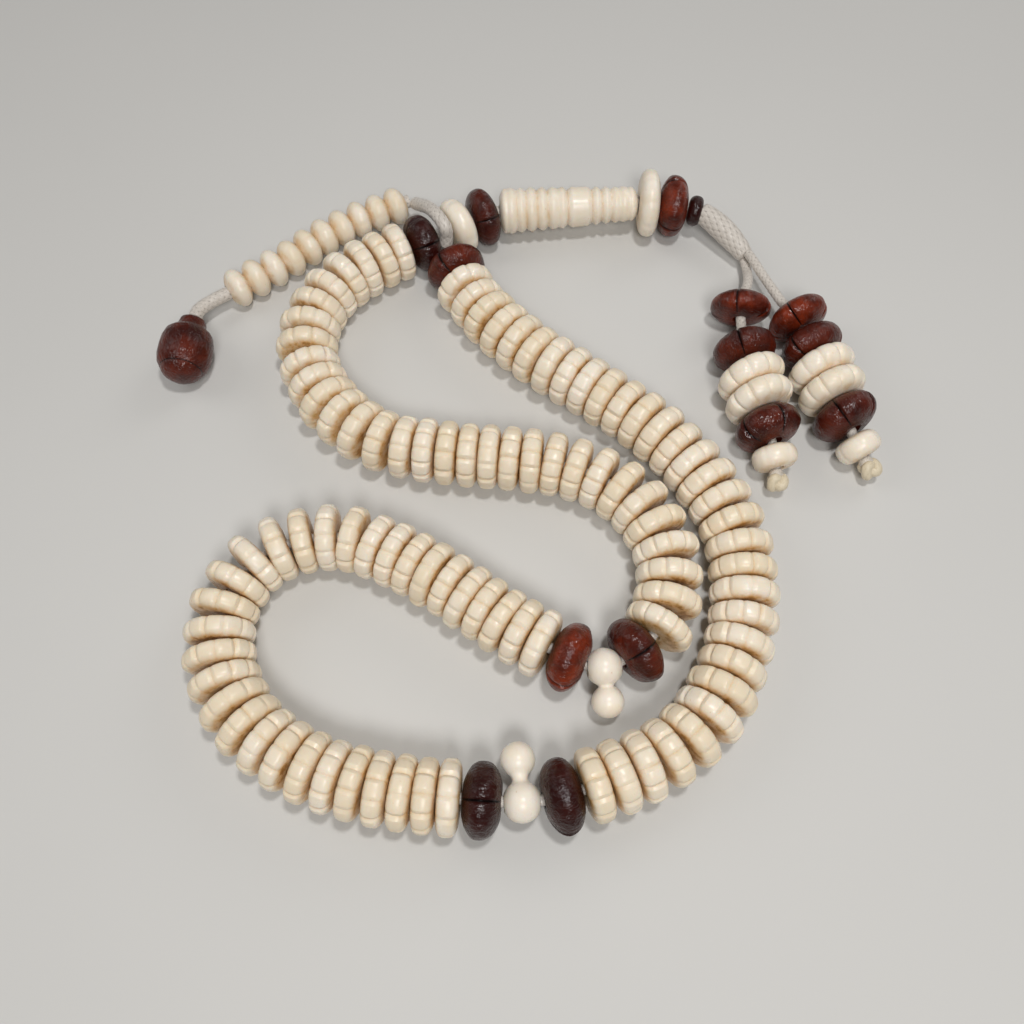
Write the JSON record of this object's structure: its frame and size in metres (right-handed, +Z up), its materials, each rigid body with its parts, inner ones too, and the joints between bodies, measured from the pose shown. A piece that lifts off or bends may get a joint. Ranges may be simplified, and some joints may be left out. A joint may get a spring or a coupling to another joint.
{
  "type": "prayer bead strand",
  "caption": "Loop of disc beads on a cord with wooden spacers, dumbbell dividers, a turned head piece, a counter string with a drop and a two-legged bead tassel.",
  "frame": {"origin": "middle of the laid-out strand, on the table under it", "axes": "+Z up from the table, +X along the head from its wide end towards the tassel, +Y from the two dividers towards the head"},
  "size_m": [0.1396, 0.1355, 0.014],
  "materials": {
    "bone": "ivory-coloured bone, satin polish",
    "wood": "dark red-brown lacquered wood, gloss",
    "cord": "off-white braided cord, satin"
  },
  "bodies": {
    "root": {"main_cord": "cord", "bead_row_a1": "bone", "bead_row_a2": "bone", "bead_row_a3": "bone", "bead_row_a4": "bone", "bead_row_b1": "bone", "bead_row_b2": "bone", "bead_row_b3": "bone", "bead_row_b4": "bone", "bead_row_c1": "bone", "bead_row_c2": "bone", "bead_row_c3": "bone", "bead_row_c4": "bone", "head_cord": "cord", "counter_tail": "cord"},
    "spacer_a_start": {"spacer_a_start": "wood"},
    "spacer_a_end": {"spacer_a_end": "wood"},
    "spacer_b_start": {"spacer_b_start": "wood"},
    "spacer_b_end": {"spacer_b_end": "wood"},
    "spacer_c_start": {"spacer_c_start": "wood"},
    "spacer_c_end": {"spacer_c_end": "wood"},
    "divider_1": {"divider_1": "bone"},
    "divider_2": {"divider_2": "bone"},
    "head_bone_disc": {"head_bone_disc": "bone"},
    "head_wood_disc": {"head_wood_disc": "wood"},
    "imame": {"imame": "bone"},
    "collar_bone_disc": {"collar_bone_disc": "bone"},
    "collar_wood_disc": {"collar_wood_disc": "wood"},
    "collar_bead": {"collar_bead": "wood"},
    "sleeve": {"sleeve": "cord"},
    "left_leg": {"left_leg_cord": "cord", "left_knot": "cord"},
    "left_wood_1": {"left_wood_1": "wood"},
    "left_wood_2": {"left_wood_2": "wood"},
    "left_bone_1": {"left_bone_1": "bone"},
    "left_bone_2": {"left_bone_2": "bone"},
    "left_wood_3": {"left_wood_3": "wood"},
    "left_end_bead": {"left_end_bead": "bone"},
    "right_leg": {"right_leg_cord": "cord", "right_knot": "cord"},
    "right_wood_1": {"right_wood_1": "wood"},
    "right_wood_2": {"right_wood_2": "wood"},
    "right_bone_1": {"right_bone_1": "bone"},
    "right_bone_2": {"right_bone_2": "bone"},
    "right_wood_3": {"right_wood_3": "wood"},
    "right_end_bead": {"right_end_bead": "bone"},
    "counter": {"counter_cord": "cord"},
    "counter_bead_01": {"counter_bead_01": "bone"},
    "counter_bead_02": {"counter_bead_02": "bone"},
    "counter_bead_03": {"counter_bead_03": "bone"},
    "counter_bead_04": {"counter_bead_04": "bone"},
    "counter_bead_05": {"counter_bead_05": "bone"},
    "counter_bead_06": {"counter_bead_06": "bone"},
    "counter_bead_07": {"counter_bead_07": "bone"},
    "counter_bead_08": {"counter_bead_08": "bone"},
    "counter_bead_09": {"counter_bead_09": "bone"},
    "counter_bead_10": {"counter_bead_10": "bone"},
    "counter_drop": {"counter_drop": "wood"}
  },
  "joints": [
    {"name": "spacer_a_start_spin", "type": "hinge", "parent": "root", "child": "spacer_a_start", "pos_m": [-0.0182, 0.0506, 0.006], "axis": [-0.8865, -0.4627, 0], "continuous": true},
    {"name": "spacer_a_end_spin", "type": "hinge", "parent": "root", "child": "spacer_a_end", "pos_m": [0.0214, -0.0375, 0.006], "axis": [-0.8062, -0.5917, 0], "continuous": true},
    {"name": "spacer_b_start_spin", "type": "hinge", "parent": "root", "child": "spacer_b_start", "pos_m": [0.0102, -0.0386, 0.006], "axis": [-0.9192, 0.3938, 0], "continuous": true},
    {"name": "spacer_b_end_spin", "type": "hinge", "parent": "root", "child": "spacer_b_end", "pos_m": [-0.0041, -0.0617, 0.006], "axis": [0.9977, -0.0677, 0], "continuous": true},
    {"name": "spacer_c_start_spin", "type": "hinge", "parent": "root", "child": "spacer_c_start", "pos_m": [0.0085, -0.061, 0.006], "axis": [0.9685, 0.2489, 0], "continuous": true},
    {"name": "spacer_c_end_spin", "type": "hinge", "parent": "root", "child": "spacer_c_end", "pos_m": [-0.011, 0.0438, 0.006], "axis": [-0.3736, 0.9276, 0], "continuous": true},
    {"name": "divider_1_flip", "type": "hinge", "parent": "root", "child": "divider_1", "pos_m": [0.016, -0.0403, 0.006], "axis": [-0.9951, -0.0988, 0], "range_deg": [0, 140]},
    {"name": "divider_2_flip", "type": "hinge", "parent": "root", "child": "divider_2", "pos_m": [0.0022, -0.062, 0.006], "axis": [0.9987, 0.0508, 0], "range_deg": [0, 234]},
    {"name": "head_bone_disc_spin", "type": "hinge", "parent": "root", "child": "head_bone_disc", "pos_m": [-0.0108, 0.0549, 0.006], "axis": [0.8387, 0.5446, 0], "continuous": true},
    {"name": "head_wood_disc_spin", "type": "hinge", "parent": "root", "child": "head_wood_disc", "pos_m": [-0.0056, 0.0576, 0.0061], "axis": [0.9063, 0.4226, 0], "continuous": true},
    {"name": "imame_spin", "type": "hinge", "parent": "root", "child": "imame", "pos_m": [0.0126, 0.0598, 0.00665], "axis": [0.9982, 0.0547, 0.0239], "continuous": true},
    {"name": "collar_bone_disc_spin", "type": "hinge", "parent": "root", "child": "collar_bone_disc", "pos_m": [0.0297, 0.0607, 0.007], "axis": [0.9994, -0.0349, 0], "continuous": true},
    {"name": "collar_wood_disc_spin", "type": "hinge", "parent": "root", "child": "collar_wood_disc", "pos_m": [0.035, 0.0603, 0.0064], "axis": [0.9925, -0.1219, 0], "continuous": true},
    {"name": "collar_bead_spin", "type": "hinge", "parent": "root", "child": "collar_bead", "pos_m": [0.0397, 0.0593, 0.0062], "axis": [0.9703, -0.2419, 0], "continuous": true},
    {"name": "tassel_swing", "type": "hinge", "parent": "root", "child": "sleeve", "pos_m": [0.0417, 0.0584, 0.0061], "axis": [0, 0, 1], "range_deg": [-2, 20]},
    {"name": "left_leg_swing", "type": "hinge", "parent": "sleeve", "child": "left_leg", "pos_m": [0.0497, 0.0497, 0.0039], "axis": [0, 0, 1], "range_deg": [-2, 30]},
    {"name": "left_wood_1_spin", "type": "hinge", "parent": "left_leg", "child": "left_wood_1", "pos_m": [0.0468, 0.034, 0.0058], "axis": [-0.1392, -0.9903, 0], "continuous": true},
    {"name": "left_wood_2_spin", "type": "hinge", "parent": "left_leg", "child": "left_wood_2", "pos_m": [0.0464, 0.0234, 0.0061], "axis": [0.1392, -0.9903, 0], "continuous": true},
    {"name": "left_bone_1_spin", "type": "hinge", "parent": "left_leg", "child": "left_bone_1", "pos_m": [0.0468, 0.0165, 0.0068], "axis": [0.342, -0.9397, 0], "continuous": true},
    {"name": "left_bone_2_spin", "type": "hinge", "parent": "left_leg", "child": "left_bone_2", "pos_m": [0.0477, 0.0115, 0.0068], "axis": [0.342, -0.9397, 0], "continuous": true},
    {"name": "left_wood_3_spin", "type": "hinge", "parent": "left_leg", "child": "left_wood_3", "pos_m": [0.0489, 0.0057, 0.0062], "axis": [0.309, -0.9511, 0], "continuous": true},
    {"name": "left_end_bead_spin", "type": "hinge", "parent": "left_leg", "child": "left_end_bead", "pos_m": [0.0498, 0.0001, 0.0048], "axis": [0.2034, -0.9568, -0.2079], "continuous": true},
    {"name": "right_leg_swing", "type": "hinge", "parent": "left_leg", "child": "right_leg", "pos_m": [0.0497, 0.0497, 0.0039], "axis": [0, 0, 1], "range_deg": [0, 40]},
    {"name": "right_wood_1_spin", "type": "hinge", "parent": "right_leg", "child": "right_wood_1", "pos_m": [0.058, 0.0312, 0.0061], "axis": [0.4067, -0.9135, 0], "continuous": true},
    {"name": "right_wood_2_spin", "type": "hinge", "parent": "right_leg", "child": "right_wood_2", "pos_m": [0.0598, 0.0244, 0.0061], "axis": [0.3746, -0.9272, 0], "continuous": true},
    {"name": "right_bone_1_spin", "type": "hinge", "parent": "right_leg", "child": "right_bone_1", "pos_m": [0.0606, 0.0185, 0.0068], "axis": [0.3746, -0.9272, 0], "continuous": true},
    {"name": "right_bone_2_spin", "type": "hinge", "parent": "right_leg", "child": "right_bone_2", "pos_m": [0.0619, 0.0135, 0.0068], "axis": [0.3746, -0.9272, 0], "continuous": true},
    {"name": "right_wood_3_spin", "type": "hinge", "parent": "right_leg", "child": "right_wood_3", "pos_m": [0.0637, 0.0081, 0.0062], "axis": [0.4384, -0.8988, 0], "continuous": true},
    {"name": "right_end_bead_spin", "type": "hinge", "parent": "right_leg", "child": "right_end_bead", "pos_m": [0.0659, 0.0024, 0.0048], "axis": [0.4891, -0.8471, -0.2079], "continuous": true},
    {"name": "counter_swing", "type": "hinge", "parent": "root", "child": "counter", "pos_m": [-0.0209, 0.0632, 0.0048], "axis": [0, 0, 1], "range_deg": [-70, 0]},
    {"name": "counter_bead_01_spin", "type": "hinge", "parent": "counter", "child": "counter_bead_01", "pos_m": [-0.0247, 0.06245, 0.00421], "axis": [-0.8965, -0.4422, -0.0272], "continuous": true},
    {"name": "counter_bead_02_spin", "type": "hinge", "parent": "counter", "child": "counter_bead_02", "pos_m": [-0.02852, 0.06053, 0.00419], "axis": [-0.8899, -0.4561, 0.0023], "continuous": true},
    {"name": "counter_bead_03_spin", "type": "hinge", "parent": "counter", "child": "counter_bead_03", "pos_m": [-0.03228, 0.05849, 0.0042], "axis": [-0.8616, -0.5077, 0.0011], "continuous": true},
    {"name": "counter_bead_04_spin", "type": "hinge", "parent": "counter", "child": "counter_bead_04", "pos_m": [-0.03589, 0.05619, 0.0042], "axis": [-0.8288, -0.5595, 0], "continuous": true},
    {"name": "counter_bead_05_spin", "type": "hinge", "parent": "counter", "child": "counter_bead_05", "pos_m": [-0.03937, 0.0537, 0.0042], "axis": [-0.795, -0.6067, 0], "continuous": true},
    {"name": "counter_bead_06_spin", "type": "hinge", "parent": "counter", "child": "counter_bead_06", "pos_m": [-0.04265, 0.05095, 0.0042], "axis": [-0.7414, -0.6711, 0], "continuous": true},
    {"name": "counter_bead_07_spin", "type": "hinge", "parent": "counter", "child": "counter_bead_07", "pos_m": [-0.04583, 0.04809, 0.0042], "axis": [-0.7636, -0.6456, 0], "continuous": true},
    {"name": "counter_bead_08_spin", "type": "hinge", "parent": "counter", "child": "counter_bead_08", "pos_m": [-0.04919, 0.04544, 0.0042], "axis": [-0.7955, -0.6059, 0], "continuous": true},
    {"name": "counter_bead_09_spin", "type": "hinge", "parent": "counter", "child": "counter_bead_09", "pos_m": [-0.05261, 0.04287, 0.0042], "axis": [-0.8002, -0.5997, -0.0003], "continuous": true},
    {"name": "counter_bead_10_slide", "type": "slide", "parent": "counter", "child": "counter_bead_10", "axis": [-0.8091, -0.5876, 0.0029], "range_m": [0, 0.0035]},
    {"name": "counter_drop_swing", "type": "hinge", "parent": "counter", "child": "counter_drop", "pos_m": [-0.0636, 0.0309, 0.0055], "axis": [0, 0, 1], "range_deg": [-20, 20]}
  ]
}
